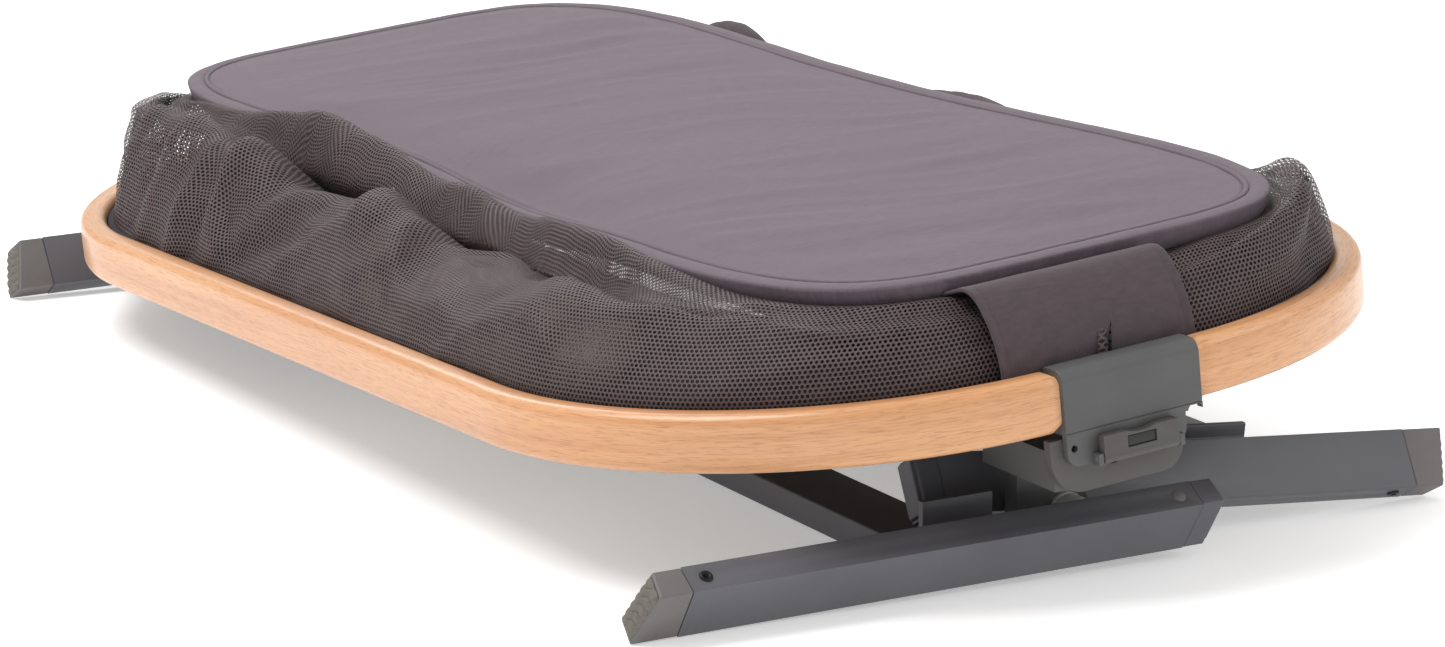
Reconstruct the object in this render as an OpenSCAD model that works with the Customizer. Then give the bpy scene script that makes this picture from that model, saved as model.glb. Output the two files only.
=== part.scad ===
// Folded baby bouncer: a bent wood ring with a mesh seat, carried on two
// scissor leg frames that lie flat under it. The long axis runs along Y,
// Z is up and the feet stand on z = 0.

/* [Wood ring] */
// Length of the ring along Y
ring_l = 790; // [760:5:820]
// Width of the ring along X
ring_w = 428; // [420:1:436]
// Outer corner radius of the ring
ring_r = 180; // [170:1:188]
// Height of the bent wood section
ring_h = 26; // [24:0.5:28]
// Thickness of the bent wood section
ring_t = 14; // [13:0.5:15]
// Edge rounding of the wood section
ring_edge = 5; // [3:0.5:6]

/* [Seat attitude] */
// Height of the ring's underside at its middle
seat_z = 64; // [63:0.5:68]
// Rise of the right side of the ring
seat_tilt = 5.7; // [5:0.1:6]
// Fall of the far end of the ring
seat_pitch = 2.3; // [2:0.1:2.4]

/* [Leg frames] */
// Height of the common axle
axle_z = 26; // [26:0.5:28]
// Radius of the axle
axle_r = 5; // [4:0.5:5]
// Long side of the leg tube section
tube_a = 28; // [27:0.5:28]
// Short side of the leg tube section
tube_b = 14; // [13:0.5:14]
// Wall of the leg tube
tube_wall = 1.8; // [1.5:0.1:2]
// Twist of the tube section about its own length
tube_twist = 33; // [31:0.5:34]
// Distance of the tube axis below the axle
tube_drop = 6; // [6:0.5:7]
// Distance from axle to the tip of the foot
foot_reach = 222; // [216:1:224]
// Length of the tube beyond the axle
horn_reach = 65; // [60:1:66]
// Distance of the outer legs from the middle
outer_y = 357; // [356:0.5:358]
// Distance of the inner legs from the middle
inner_y = 317; // [316:0.5:317]

/* [Brackets] */
// Width of the end brackets
bracket_w = 69; // [66:1:70]
// Thickness of the hub plates
hub_t = 4.6; // [4:0.1:4.6]
// Radius of the swing pins
swing_r = 4; // [3:0.5:4]

/* [Seat] */
// Length of the mattress pad
pad_l = 736; // [720:2:736]
// Width of the pad at its ends
pad_w = 296; // [280:2:300]
// Width of the pad at its waist
pad_waist = 258; // [240:2:262]
// Thickness of the pad
pad_t = 16; // [12:1:16]
// Height of the pad's underside above the ring's underside
pad_z = 51; // [51:0.5:54]

/* [Hidden] */
$fn = 64;

wood = "BurlyWood";
steel_grey = "SlateGray";
cap_grey = "DimGray";
rubber_brown = "#5a534c";
bracket_grey = "#4c5050";
cloth = "#6c6469";
mesh_cloth = "#4b4447";

// The seat lies a little off the axle, and both are set off the middle of the outer box.
axle_x = -0.7;
seat_x = -6.2;
seat_y = 0.4;

// Leg section, measured from the tube axis, and the foot's sloping end face
half_diag = (tube_a * cos(tube_twist) + tube_b * sin(tube_twist)) / 2;
face_slope = 16;
cap_l = 22.4;
plug_l = 13;
foot_top_reach = foot_reach - 2 * half_diag * tan(face_slope);
bush_r = 8;
bush_half = 13.2;
rest_face = 2.5;

// Leg angles that bring each foot's lowest edge down to z = 0
left_low = tube_drop + half_diag;
right_low = half_diag - tube_drop;
left_angle = asin(axle_z / norm([foot_reach, left_low])) - atan(left_low / foot_reach);
right_angle = asin(axle_z / norm([foot_top_reach, right_low])) - atan(right_low / foot_top_reach);

// Crossbeams: distance from the axle, width, and bottom and top heights about the axle
left_beam = [55, 35, -21.5, -8.3];
right_beam = [102, 40, -17.8, 0.2];
left_lip = [-21.5, 14];
right_lip = [-24.8, 2];
lip_t = 3.3;
beam_wall = 2;

// Gap between the outer and inner legs, where the lugs of the hub sit
lug_y0 = 332.5;
lug_y1 = 341.5;
lug_r = 12;
washer_r = 8.5;
washer_gap = 0.6;

// Ring, hub and bracket planes, measured from the ring's middle along its long axis
end_y = ring_l / 2;
bracket_x = 2.5;
plate_x = 6;
skirt_back = end_y - 2;
skirt_front = end_y + 1.5;
hub_back = end_y - 7;
swing_z = -12;
tenon_w = 8;
tenon_h = 20;
latch_front = end_y + 6.5;
latch_back = end_y + 1.9;
latch_pin_z = -13.2;
latch_pin_y = end_y + 4.3;

// Seat outlines
pad_x = 18;
pad_y = 16;
wall_t = 3;
mesh_half = 128;
mesh_z0 = 20;
mesh_side = ring_w / 2 - ring_t - 0.5;
mesh_end = end_y - ring_t - 0.5;

module seat_place() {
  translate([seat_x, seat_y, seat_z]) rotate([-seat_pitch, 0, 0]) rotate([0, -seat_tilt, 0])
    children();
}

module both_ends(front) {
  mirror([0, front ? 0 : 1, 0]) children();
}

// The left frame's feet point to -X. The right frame is the same frame turned over.
module left_place() {
  translate([axle_x, 0, axle_z]) rotate([0, -left_angle, 0]) children();
}

module right_place() {
  translate([axle_x, 0, axle_z]) rotate([0, 180 + right_angle, 0]) children();
}

module round_rect(w, h, r) {
  square([w - 2 * r, h], center = true);
  square([w, h - 2 * r], center = true);
  for (sx = [-1, 1], sy = [-1, 1])
    translate([sx * (w / 2 - r), sy * (h / 2 - r)]) circle(r, $fn = 40);
}

// A closed ring of a constant section, swept round a rectangle with round corners.
// The section's outer face is at x = 0 and its body at x < 0.
module swept_ring(w, l, r) {
  for (q = [0 : 3]) {
    sx = (q == 0 || q == 3) ? 1 : -1;
    sy = q < 2 ? 1 : -1;
    translate([sx * (w / 2 - r), sy * (l / 2 - r), 0]) rotate([0, 0, 90 * q])
      rotate_extrude(angle = 90, $fn = 120) translate([r, 0]) children();
  }
  for (s = [-1, 1]) {
    translate([s * w / 2, s * (l / 2 - r), 0]) rotate([90, 0, s > 0 ? 0 : 180])
      linear_extrude(l - 2 * r) children();
    translate([-s * (w / 2 - r), s * l / 2, 0]) rotate([90, 0, s > 0 ? 90 : -90])
      linear_extrude(w - 2 * r) children();
  }
}

// ---- wood ring and brackets, in the ring's own frame ----

module bracket_zone() {
  for (s = [-1, 1])
    translate([bracket_x - bracket_w / 2, s > 0 ? end_y - 30 : -end_y - 5, -5])
      cube([bracket_w, 35, ring_h + 10]);
}

module wood_ring() {
  color(wood) seat_place() {
    difference() {
      swept_ring(ring_w, ring_l, ring_r)
        translate([-ring_t / 2, ring_h / 2]) round_rect(ring_t, ring_h, ring_edge);
      bracket_zone();
    }
    for (s = [-1, 1])
      translate([bracket_x, s * (end_y - ring_t / 2), ring_h / 2])
        cube([bracket_w, tenon_w, tenon_h], center = true);
  }
}

module skirt_outline() {
  difference() {
    translate([plate_x, 0]) difference() {
      union() {
        translate([-38, -9]) square([60, 9]);
        translate([-32, -15]) square([48, 8]);
        translate([-32, -9]) circle(6);
        translate([15, -9]) circle(7);
        translate([20, -3]) square([11, 3]);
      }
      translate([27, -3.6]) circle(3.6);
      translate([-34.5, -7]) circle(1.6);
    }
    translate([0, swing_z]) circle(swing_r);
  }
}

module bracket(front) {
  color(bracket_grey) seat_place() both_ends(front) {
    difference() {
      translate([bracket_x - bracket_w / 2, -skirt_front, -1])
        cube([bracket_w, skirt_front - end_y + ring_t, ring_h + 2]);
      translate([bracket_x - bracket_w / 2 - 1, -end_y + (ring_t - tenon_w) / 2, (ring_h - tenon_h) / 2])
        cube([bracket_w + 2, tenon_w, tenon_h]);
      for (dx = [-22, 22])
        translate([bracket_x + dx, -end_y + ring_t / 2, -2]) cylinder(r = 3, h = ring_h / 2);
    }
    translate([0, -skirt_back, 0]) rotate([90, 0, 0])
      linear_extrude(skirt_front - skirt_back) skirt_outline();
    for (x = [plate_x - 25.8, plate_x + 15.3])
      difference() {
        translate([x, -latch_front + 0.4, latch_pin_z - 2.4]) cube([2.4, latch_front - skirt_front - 0.4, 5]);
        translate([x - 1, -latch_pin_y, latch_pin_z]) rotate([0, 90, 0]) cylinder(r = 1.2, h = 5);
      }
  }
}

module bracket_screws() {
  color("gray") seat_place() for (front = [true, false]) both_ends(front) for (dx = [-22, 22])
    translate([bracket_x + dx, -end_y + ring_t / 2, -1]) cylinder(r = 3, h = 1 + (ring_h - tenon_h) / 2);
}

module swing_pins() {
  color("silver") seat_place() for (front = [true, false]) both_ends(front)
    translate([0, -skirt_front + 0.2, swing_z]) rotate([-90, 0, 0]) {
      cylinder(r = swing_r, h = skirt_front - hub_back + 0.3);
      translate([0, 0, skirt_front - hub_back + 0.3]) cylinder(r = 6.5, h = 2.5);
    }
}

module latch(front) {
  color(cap_grey) seat_place() both_ends(front) translate([plate_x, 0, 0]) difference() {
    union() {
      translate([-23, -latch_front, latch_pin_z]) cube([38, latch_front - latch_back, 10]);
      translate([-23, -latch_pin_y, latch_pin_z]) rotate([0, 90, 0]) cylinder(r = 2.4, h = 38);
    }
    translate([-24, -latch_pin_y, latch_pin_z]) rotate([0, 90, 0]) cylinder(r = 1.25, h = 40);
    translate([-11, -latch_front - 1, -10.5]) cube([14.5, 2.6, 5]);
    translate([-4, -latch_front - 1, 18]) rotate([-90, 0, 0]) cylinder(r = 22.5, h = 10, $fn = 120);
  }
}

module latch_insert(front) {
  color("black") seat_place() both_ends(front)
    translate([plate_x - 10.8, -latch_front + 0.6, -10.3]) cube([14.1, 1, 4.6]);
}

module latch_pin(front) {
  color("silver") seat_place() both_ends(front)
    translate([plate_x - 25.7, -latch_pin_y, latch_pin_z]) rotate([0, 90, 0]) cylinder(r = 1.2, h = 43.3);
}

// ---- soft seat, in the ring's own frame ----

module seat_hem() {
  color(mesh_cloth) seat_place()
    swept_ring(ring_w - 2 * ring_t - 0.6, ring_l - 2 * ring_t - 0.6, ring_r - ring_t)
      translate([-3.5, 8]) square([3.5, mesh_z0 - 8]);
}

module mesh_loop(inset, z, left, right, near, far, r) {
  for (x = [left + r, right - r], y = [near + r, far - r])
    translate([x, y, z]) cylinder(r = r - inset, h = 0.5, $fn = 32);
}

module mesh_form(inset) {
  hull() {
    mesh_loop(inset, mesh_z0, -mesh_side, mesh_side, -mesh_end, mesh_end, 165);
    mesh_loop(inset, pad_z - 0.5, pad_x - mesh_half, pad_x + mesh_half, -345, mesh_end, 66);
  }
}

module seat_mesh() {
  color(mesh_cloth) seat_place() difference() {
    mesh_form(0);
    hull() {
      mesh_loop(wall_t, mesh_z0 - 0.1, -mesh_side, mesh_side, -mesh_end, mesh_end, 165);
      mesh_loop(wall_t, pad_z, pad_x - mesh_half, pad_x + mesh_half, -345, mesh_end, 66);
    }
  }
}

// Hourglass outline: wide round ends and a waist, drawn by one formula
function pad_half(v) = pad_waist / 2 + (pad_w - pad_waist) / 2 * v * v;
function rounded(c, power) = sign(c) * pow(abs(c), power);
function pad_outline(inset) = [for (a = [0 : 5 : 355])
  let (v = rounded(sin(a), 0.32), u = rounded(cos(a), 0.32))
  [pad_x + u * (pad_half(v) - inset), pad_y + v * (pad_l / 2 - inset)]];

module seat_board() {
  color("tan") seat_place() translate([0, 0, pad_z - 4]) linear_extrude(4) polygon(pad_outline(14));
}

module seat_pad() {
  color(cloth) seat_place() translate([0, 0, pad_z]) linear_extrude(pad_t) polygon(pad_outline(0));
}

module band_strip(y0, z0, y1, z1) {
  hull() {
    translate([-52, y0, z0]) cube([97, 1.2, 0.5]);
    translate([-52, y1, z1]) cube([97, 1.2, 0.5]);
  }
}

module front_band() {
  color(cloth) seat_place() band_strip(-375, 28, -352, 50);
}

module rear_band() {
  color(cloth) seat_place() band_strip(mesh_end + 0.5, 28, mesh_end + 0.5, 50);
}

module side_straps() {
  color(mesh_cloth) seat_place() for (at = [[156, 235], [149.5, -30]])
    translate([at[0], at[1] - 20, 52]) cube([6, 40, 24]);
}

// ---- stand head: axle, washers, hub plates and housings ----

module along_y(y0, y1, r) {
  translate([0, y0, 0]) rotate([-90, 0, 0]) cylinder(r = r, h = y1 - y0);
}

module axle() {
  color("silver") translate([axle_x, 0, axle_z])
    along_y(-outer_y - rest_face + 0.5, outer_y + rest_face - 0.5, axle_r);
}

module axle_washers() {
  color("white") translate([axle_x, 0, axle_z]) for (front = [true, false]) both_ends(front)
    for (span = [[-outer_y + bush_half + washer_gap, -lug_y1], [-lug_y0, -inner_y - bush_half - washer_gap]])
      difference() {
        along_y(span[0], span[1], washer_r);
        along_y(span[0] - 1, span[1] + 1, axle_r);
      }
}

module hub_outline() {
  difference() {
    translate([plate_x, 0]) difference() {
      union() {
        translate([-44, -12]) square([66, 9]);
        translate([-28, -27.5]) square([40, 20]);
        intersection() {
          translate([-28, -11.5]) circle(16);
          translate([-44, -27.5]) square([16, 16]);
        }
        translate([12, -17.5]) circle(10);
      }
      translate([-14.5, -18.5]) square([3, 2]);
      polygon([[-45, -2.2], [-45, 0], [23, 0], [23, -5.5]]);
    }
    translate([0, swing_z]) circle(swing_r + 0.06);
  }
}

module hub_plate(front) {
  color(cap_grey) seat_place() both_ends(front)
    translate([0, -hub_back, 0]) rotate([90, 0, 0]) linear_extrude(hub_t) hub_outline();
}

// Housing: an arm from the back of the hub plate over the outer leg, and a lug down to the axle
module housing(front, arm_z0, arm_z1) {
  s = front ? -1 : 1;
  color(bracket_grey) difference() {
    union() {
      translate([-38, s > 0 ? lug_y0 : -hub_back - 3, arm_z0]) cube([25, hub_back + 3 - lug_y0, arm_z1 - arm_z0]);
      translate([-26, s > 0 ? lug_y0 : -lug_y1, axle_z]) cube([16, lug_y1 - lug_y0, arm_z1 - axle_z]);
      translate([-18, s > 0 ? lug_y0 : -lug_y1, axle_z - 4]) cube([18, lug_y1 - lug_y0, 16]);
      translate([axle_x, s > 0 ? 0 : -lug_y0 - lug_y1, axle_z]) along_y(lug_y0, lug_y1, lug_r);
    }
    translate([axle_x, s > 0 ? 0 : -lug_y0 - lug_y1, axle_z]) along_y(lug_y0 - 1, lug_y1 + 1, axle_r);
    seat_place() both_ends(front) translate([-60, -hub_back - 10, -60]) cube([120, 10, 80]);
  }
}

// ---- leg frames, in the frame of a leg: axle at the origin, foot towards -X ----

module tube_section(a, b) {
  rotate([0, 0, tube_twist]) square([b, a], center = true);
}

// A bar of the tube's section between two distances along the leg
module leg_bar(x0, x1, a, b) {
  translate([x0, 0, -tube_drop]) rotate([90, 0, 90]) linear_extrude(x1 - x0) tube_section(a, b);
}

// Places a leg of the front or rear side; the front leg leans its section outwards
module leg_at(front, y) {
  both_ends(front) translate([0, -y, 0]) children();
}

// The screw near the foot and the rivet near the horn, on the section's upper narrow face
module screw_bodies(r, h) {
  for (x = [-foot_reach + 31, horn_reach - 22])
    translate([x, 0, -tube_drop]) rotate([tube_twist, 0, 0]) translate([0, 0, tube_a / 2 - h + 0.4])
      cylinder(r = r, h = h);
}

module leg_tube(front, y, through) {
  color(steel_grey) leg_at(front, y) difference() {
    leg_bar(-foot_reach + cap_l, horn_reach - plug_l, tube_a, tube_b);
    leg_bar(-foot_reach + cap_l - 1, horn_reach - plug_l + 1, tube_a - 2 * tube_wall, tube_b - 2 * tube_wall);
    along_y(through ? -bush_half - 1 : -rest_face, bush_half + 1, bush_r);
    screw_bodies(2.6, 4);
  }
}

module foot_end(depth) {
  translate([-foot_reach, 0, -tube_drop - half_diag]) rotate([0, face_slope, 0])
    translate([-60, -40, -20]) cube([60 + depth, 80, 90]);
}

module foot_recess() {
  leg_bar(-foot_reach - 1, -foot_reach + cap_l - 1, tube_a - 4, tube_b - 4);
}

module foot_cap(front, y) {
  color(cap_grey) leg_at(front, y) difference() {
    leg_bar(-foot_reach, -foot_reach + cap_l, tube_a, tube_b);
    foot_end(0);
    intersection() {
      foot_end(3);
      foot_recess();
    }
  }
}

module foot_pad(front, y) {
  color(rubber_brown) leg_at(front, y) intersection() {
    difference() {
      foot_end(3);
      foot_end(0);
    }
    foot_recess();
  }
}

module end_plug(front, y) {
  color(cap_grey) leg_at(front, y) {
    leg_bar(horn_reach - plug_l, horn_reach - 2, tube_a, tube_b);
    leg_bar(horn_reach - 2, horn_reach, tube_a - 3, tube_b - 3);
  }
}

module bushes(y, through) {
  color("white") for (front = [true, false]) leg_at(front, y) difference() {
    along_y(through ? -bush_half : -rest_face, bush_half, bush_r);
    along_y(through ? -bush_half - 1 : -rest_face + 0.4, bush_half + 1, axle_r + 0.05);
  }
}

module crossbeam(y, beam, lip_gap) {
  half = y - bush_half - lip_gap - lip_t;
  color(bracket_grey) translate([-beam[0], half, (beam[2] + beam[3]) / 2]) rotate([90, 0, 0])
    linear_extrude(2 * half) difference() {
      square([beam[1], beam[3] - beam[2]], center = true);
      square([beam[1] - 2 * beam_wall, beam[3] - beam[2] - 2 * beam_wall], center = true);
    }
}

module beam_brackets(y, beam, lip, lip_gap) {
  inner = y - bush_half - lip_gap;
  color(bracket_grey) for (front = [true, false]) leg_at(front, 0) difference() {
    union() {
      translate([-beam[0] - beam[1] / 2, -inner, lip[0]]) cube([beam[1], lip_t, lip[1] - lip[0]]);
      translate([-beam[0] - beam[1] / 2, -y + 2, beam[2]]) cube([beam[1], y - 2 - inner, 12]);
    }
    translate([0, -y, 0]) leg_bar(-200, 0, tube_a, tube_b);
  }
}

module leg_screws(y) {
  color("black") for (front = [true, false]) leg_at(front, y) screw_bodies(2.6, 4);
}

wood_ring();
bracket(true);  // front_bracket
bracket(false);  // rear_bracket
bracket_screws();
swing_pins();
seat_hem();
seat_mesh();
seat_board();
seat_pad();
front_band();
rear_band();
side_straps();
latch(true);  // front_latch
latch_insert(true);  // front_latch_insert
latch_pin(true);  // front_latch_pin
latch(false);  // rear_latch
latch_insert(false);  // rear_latch_insert
latch_pin(false);  // rear_latch_pin
axle();
axle_washers();
hub_plate(true);  // front_hub_plate
hub_plate(false);  // rear_hub_plate
housing(true, 50, 66);  // front_housing
housing(false, 38.5, 42);  // rear_housing
left_place() leg_tube(true, outer_y, false);  // left_front_tube
left_place() leg_tube(false, outer_y, false);  // left_rear_tube
left_place() foot_cap(true, outer_y);  // left_front_foot_cap
left_place() foot_cap(false, outer_y);  // left_rear_foot_cap
left_place() foot_pad(true, outer_y);  // left_front_foot_pad
left_place() foot_pad(false, outer_y);  // left_rear_foot_pad
left_place() end_plug(true, outer_y);  // left_front_end_plug
left_place() end_plug(false, outer_y);  // left_rear_end_plug
left_place() bushes(outer_y, false);  // left_bushes
left_place() crossbeam(outer_y, left_beam, 2.3);  // left_crossbeam
left_place() beam_brackets(outer_y, left_beam, left_lip, 2.3);  // left_beam_brackets
left_place() leg_screws(outer_y);  // left_leg_screws
right_place() leg_tube(true, inner_y, true);  // right_front_tube
right_place() leg_tube(false, inner_y, true);  // right_rear_tube
right_place() foot_cap(true, inner_y);  // right_front_foot_cap
right_place() foot_cap(false, inner_y);  // right_rear_foot_cap
right_place() foot_pad(true, inner_y);  // right_front_foot_pad
right_place() foot_pad(false, inner_y);  // right_rear_foot_pad
right_place() end_plug(true, inner_y);  // right_front_end_plug
right_place() end_plug(false, inner_y);  // right_rear_end_plug
right_place() bushes(inner_y, true);  // right_bushes
right_place() crossbeam(inner_y, right_beam, 2);  // right_crossbeam
right_place() beam_brackets(inner_y, right_beam, right_lip, 2);  // right_beam_brackets
right_place() leg_screws(inner_y);  // right_leg_screws
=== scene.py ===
"""The folded bouncer seat, dressed on its CAD frame: wood ring, mesh cradle, pad and grey stand.

Finished pieces are in metres, in the CAD's own frame. The seat's frame has its origin at the middle of
the ring's underside, with Y along the ring's long axis; seat pieces are written there in mm and placed
by SEAT. The parts of a leg are written in mm from the axle and placed by leg_matrix.
"""

import math
import random

import bmesh
import bpy
import numpy as np
from mathutils import Matrix, Vector, noise


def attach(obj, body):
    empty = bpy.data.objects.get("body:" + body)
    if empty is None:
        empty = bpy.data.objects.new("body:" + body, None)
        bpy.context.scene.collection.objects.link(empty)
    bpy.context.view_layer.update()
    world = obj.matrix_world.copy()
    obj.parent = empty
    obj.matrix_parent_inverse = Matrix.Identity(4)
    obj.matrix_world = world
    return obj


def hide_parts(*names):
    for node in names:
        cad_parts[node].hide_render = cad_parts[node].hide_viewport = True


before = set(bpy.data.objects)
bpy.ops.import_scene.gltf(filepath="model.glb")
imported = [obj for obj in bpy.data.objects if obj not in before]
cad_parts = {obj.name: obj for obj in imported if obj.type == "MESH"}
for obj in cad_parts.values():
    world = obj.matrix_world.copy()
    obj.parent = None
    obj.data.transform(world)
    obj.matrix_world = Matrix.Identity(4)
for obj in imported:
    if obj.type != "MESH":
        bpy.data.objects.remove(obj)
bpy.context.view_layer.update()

# ---------------------------------------------------------------- sizes, in mm

MM = 0.001
SEAT_ORIGIN = (-6.2, 0.4, 64.0)
SEAT_PITCH = 2.3
SEAT_TILT = 5.7
RING_L, RING_W, RING_R = 790.0, 428.0, 180.0
RING_H, RING_T, RING_EDGE = 26.0, 14.0, 5.0
BRACKET_LEFT, BRACKET_RIGHT = -32.0, 37.0

PAD_X, PAD_Y = 16.0, 16.0
PAD_HALF_LENGTH = 367.0
PAD_HALF_END, PAD_HALF_WAIST = 143.0, 127.0
PAD_TOP_NEAR, PAD_TOP_FAR = 66.0, 76.0
PAD_BACK = 51.4
PAD_CORNER = 0.40
PIPING_INSET, PIPING_RADIUS = 10.0, 1.3

AXLE_X, AXLE_Z = -0.7, 26.0
TUBE_A, TUBE_B, TUBE_TWIST, TUBE_DROP = 28.0, 14.0, 33.0, 6.0
FOOT_REACH, HORN_REACH, FACE_SLOPE = 222.0, 65.0, 16.0
OUTER_Y, INNER_Y = 357.0, 317.0
SCREW_FROM_FOOT, PLUG_FROM_HORN = 31, 22

BAND_LEFT, BAND_RIGHT, BAND_CLOTH_THICK = -54, 43, 1.6
TAB_CLOTH_THICK = 1.2
WALL_WIDTH = 125.0
FOLD_SEED, FOLD_COUNT = 11, 95
SHARP_ANGLE = 35
NET_PITCH, NET_PLY_GAP = 2.3, 2.6

CAMERA_PLACE = (-1.0757, -1.9319, 0.5602)
CAMERA_AZIMUTH, CAMERA_HEIGHT = -27.29, 13.99
CAMERA_SENSOR, CAMERA_LENS = 36.0, 113.96
CAMERA_SHIFT = (0.1245, 0.0369)
WORLD_STRENGTH, FLOOR_GLOW = 0.68, 0.36
FLOOR_HALF = 30

SEAT = (Matrix.Translation(Vector(SEAT_ORIGIN) * MM)
        @ Matrix.Rotation(math.radians(-SEAT_PITCH), 4, "X")
        @ Matrix.Rotation(math.radians(-SEAT_TILT), 4, "Y")
        @ Matrix.Scale(MM, 4))


# ---------------------------------------------------------------- mesh helpers

def shade_smooth(mesh):
    mesh.polygons.foreach_set("use_smooth", [True] * len(mesh.polygons))


def mesh_object(name, verts, faces, uvs=None, matrix=None):
    """A mesh object from points in mm, placed by a matrix; uvs has one (u, v) for each face corner."""
    mesh = bpy.data.meshes.new(name)
    mesh.from_pydata([tuple(v) for v in verts], [], [tuple(f) for f in faces])
    if uvs is not None:
        layer = mesh.uv_layers.new(name="run")
        layer.data.foreach_set("uv", np.asarray(uvs, float).ravel())
    if matrix is not None:
        mesh.transform(matrix)
    mesh.validate()
    mesh.update()
    shade_smooth(mesh)
    obj = bpy.data.objects.new(name, mesh)
    bpy.context.scene.collection.objects.link(obj)
    return obj


def grid_object(name, points, closed_u=False, closed_v=False, uv=None, matrix=None, caps=False):
    """A sheet through a grid of points[u][v]; uv is the same grid of texture places in metres."""
    points = np.asarray(points, float)
    nu, nv = points.shape[:2]
    faces, corners = [], []
    for i in range(nu if closed_u else nu - 1):
        for j in range(nv if closed_v else nv - 1):
            a, b = (i, j), ((i + 1) % nu, j)
            c, d = ((i + 1) % nu, (j + 1) % nv), (i, (j + 1) % nv)
            faces.append([p * nv + q for p, q in (a, b, c, d)])
            if uv is not None:
                for k, (p, q) in enumerate(((i, j), (i + 1, j), (i + 1, j + 1), (i, j + 1))):
                    corners.append(uv(p, q))
    if caps:
        faces.append(list(range(nv))[::-1])
        faces.append([(nu - 1) * nv + q for q in range(nv)])
        if uv is not None:
            corners += [uv(0, q) for q in range(nv)][::-1] + [uv(nu - 1, q) for q in range(nv)]
    return mesh_object(name, points.reshape(-1, 3), faces, corners if uv else None, matrix)


def merge_close(obj, distance):
    """Joins points that are nearer than distance mm and turns all faces outwards."""
    bm = bmesh.new()
    bm.from_mesh(obj.data)
    bmesh.ops.remove_doubles(bm, verts=bm.verts, dist=distance * MM)
    bmesh.ops.recalc_face_normals(bm, faces=bm.faces)
    bm.to_mesh(obj.data)
    bm.free()
    shade_smooth(obj.data)


def tube_rows(path, radius, sides=10):
    """Rings of points round a closed path of (x, y, z) points."""
    path = np.asarray(path, float)
    rows = []
    for i in range(len(path)):
        tangent = path[(i + 1) % len(path)] - path[i - 1]
        tangent /= np.linalg.norm(tangent)
        side = np.cross(tangent, (0, 0, 1))
        side /= np.linalg.norm(side)
        up = np.cross(side, tangent)
        rows.append([path[i] + radius * (math.cos(a) * side + math.sin(a) * up)
                     for a in (2 * math.pi * k / sides for k in range(sides))])
    return rows


def lathe_rows(profile, sides):
    """A profile of (radius, height) points turned round the vertical axis."""
    return [[(r * math.cos(2 * math.pi * k / sides), r * math.sin(2 * math.pi * k / sides), z)
             for r, z in profile] for k in range(sides)]


def add_modifier(obj, kind, **settings):
    modifier = obj.modifiers.new(kind.title(), kind)
    for key, value in settings.items():
        setattr(modifier, key, value)
    return modifier


def dress(obj, body, material, replaces=()):
    """Gives a piece its material and makes it ride on its body."""
    obj.data.materials.clear()
    obj.data.materials.append(material)
    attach(obj, body)
    if replaces:
        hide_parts(*replaces)
    return obj


def softened(node, width, body, material, segments=3, below=None):
    """A copy of a CAD node with its sharp edges rounded by width mm, standing for the node.

    With below, only what lies under that height in the seat's frame is kept."""
    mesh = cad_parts[node].data.copy()
    bm = bmesh.new()
    bm.from_mesh(mesh)
    bmesh.ops.remove_doubles(bm, verts=bm.verts, dist=2e-6)
    bmesh.ops.dissolve_limit(bm, angle_limit=math.radians(1.0), verts=bm.verts, edges=bm.edges)
    if below is not None:
        parts = list(bm.verts) + list(bm.edges) + list(bm.faces)
        up = (SEAT.to_3x3() @ Vector((0, 0, 1))).normalized()
        bmesh.ops.bisect_plane(bm, geom=parts, plane_co=SEAT @ Vector((0, 0, below)), plane_no=up,
                               clear_outer=True)
        rim = [edge for edge in bm.edges if edge.is_boundary]
        bmesh.ops.holes_fill(bm, edges=rim)
    bm.to_mesh(mesh)
    bm.free()
    shade_smooth(mesh)
    obj = bpy.data.objects.new(node + "_skin", mesh)
    bpy.context.scene.collection.objects.link(obj)
    add_modifier(obj, "BEVEL", width=width * MM, segments=segments, limit_method="ANGLE",
                 angle_limit=math.radians(SHARP_ANGLE), harden_normals=True)
    return dress(obj, body, material, [node])


def wobble(x, y, z, scale, seed):
    """Smooth noise between about -1 and 1 at a point, with features about scale mm across."""
    p = Vector((x / scale + seed * 17.3, y / scale - seed * 5.1, z / scale + seed * 2.7))
    return noise.noise(p)


def smooth_step(low, high, value):
    """0 below low, 1 above high, and an even curve between."""
    t = min(max((value - low) / (high - low), 0.0), 1.0)
    return t * t * (3 - 2 * t)


def spline(keys, values, x, period=None):
    """Cubic interpolation through (key, value) pairs, repeating with period if there is one."""
    keys, values = list(keys), list(values)
    if period:
        keys = [keys[-2] - period, keys[-1] - period] + keys + [keys[0] + period, keys[1] + period]
        values = values[-2:] + values + values[:2]
    else:
        keys = [2 * keys[0] - keys[1]] + keys + [2 * keys[-1] - keys[-2]]
        values = [2 * values[0] - values[1]] + values + [2 * values[-1] - values[-2]]
    i = max(1, min(int(np.searchsorted(keys, x)) - 1, len(keys) - 3))
    k0, k1, k2, k3 = keys[i - 1:i + 3]
    v0, v1, v2, v3 = values[i - 1:i + 3]
    t = (x - k1) / (k2 - k1)
    m1 = (v2 - v0) / (k2 - k0) * (k2 - k1)
    m2 = (v3 - v1) / (k3 - k1) * (k2 - k1)
    return ((2 * t ** 3 - 3 * t ** 2 + 1) * v1 + (t ** 3 - 2 * t ** 2 + t) * m1
            + (3 * t ** 2 - 2 * t ** 3) * v2 + (t ** 3 - t ** 2) * m2)


# ---------------------------------------------------------------- material helpers

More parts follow.
